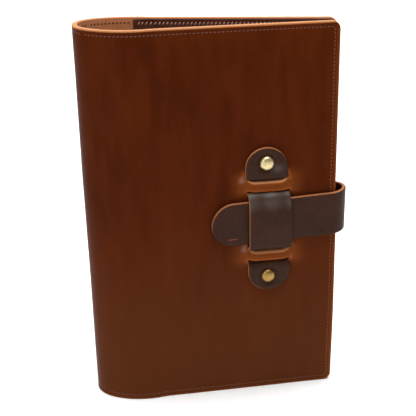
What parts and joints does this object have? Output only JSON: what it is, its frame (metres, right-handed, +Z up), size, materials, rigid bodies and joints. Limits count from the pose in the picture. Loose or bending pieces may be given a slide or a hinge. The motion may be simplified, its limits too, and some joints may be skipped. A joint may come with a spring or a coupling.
{
  "type": "leather notebook cover",
  "caption": "Upright leather notebook cover with rounded spine, inner pockets, laced keeper and a riveted wrap-round closure strap.",
  "frame": {"origin": "centre of the bounding box's bottom, where the closed cover stands on its lower edges", "axes": "+Z up along the cover's height, +X from the spine to the fore edge, -Y out of the front cover"},
  "size_m": [0.1488, 0.0384, 0.222],
  "materials": {
    "cover_leather": "semi-gloss reddish brown hide",
    "pocket_leather": "dark burgundy-brown lining leather",
    "strap_leather": "dark brown grained strap leather with tan edges",
    "thread": "waxed brown thread",
    "brass": "polished brass"
  },
  "bodies": {
    "back_cover": {"back_panel": "cover_leather", "back_pocket": "pocket_leather", "back_edge_stitching": "thread", "closure_strap_back": "strap_leather", "strap_rivet_upper_cap": "brass", "strap_rivet_upper_post": "brass", "strap_rivet_lower_cap": "brass", "strap_rivet_lower_post": "brass"},
    "spine_1": {"spine_strip_1": "cover_leather"},
    "spine_2": {"spine_strip_2": "cover_leather"},
    "spine_3": {"spine_strip_3": "cover_leather"},
    "front_cover": {"front_panel": "cover_leather", "front_pocket": "pocket_leather", "front_edge_stitching": "thread", "keeper_strap": "strap_leather", "keeper_rivet_upper_cap": "brass", "keeper_rivet_upper_post": "brass", "keeper_rivet_lower_cap": "brass", "keeper_rivet_lower_post": "brass"},
    "strap_bend": {"closure_strap_bend": "strap_leather"},
    "strap_tongue": {"closure_strap_tongue": "strap_leather"}
  },
  "joints": [
    {"name": "cover_open", "type": "hinge", "parent": "back_cover", "child": "spine_1", "pos_m": [-0.05917, 0.01725, 0.111], "axis": [0, 0, -1], "range_deg": [0, 48.2]},
    {"name": "spine_flex_2", "type": "hinge", "parent": "spine_1", "child": "spine_2", "pos_m": [-0.07307, 0.00643, 0.111], "axis": [0, 0, -1], "range_deg": [0, 48.2]},
    {"name": "spine_flex_3", "type": "hinge", "parent": "spine_2", "child": "spine_3", "pos_m": [-0.07307, -0.00643, 0.111], "axis": [0, 0, -1], "range_deg": [0, 48.2]},
    {"name": "front_cover_turn", "type": "hinge", "parent": "spine_3", "child": "front_cover", "pos_m": [-0.05917, -0.01725, 0.111], "axis": [0, 0, -1], "range_deg": [0, 48.2]},
    {"name": "strap_unwrap", "type": "hinge", "parent": "back_cover", "child": "strap_bend", "pos_m": [0.072, 0.0063, 0.111], "axis": [0, 0, 1], "range_deg": [0, 83.58]},
    {"name": "strap_tongue_turn", "type": "hinge", "parent": "strap_bend", "child": "strap_tongue", "pos_m": [0.072, -0.0063, 0.111], "axis": [0, 0, 1], "range_deg": [0, 83.58]}
  ],
  "couplings": [
    {"joint": "spine_flex_2", "follows": "cover_open", "ratio": 1},
    {"joint": "spine_flex_3", "follows": "cover_open", "ratio": 1},
    {"joint": "front_cover_turn", "follows": "cover_open", "ratio": 1},
    {"joint": "strap_tongue_turn", "follows": "strap_unwrap", "ratio": 1}
  ]
}
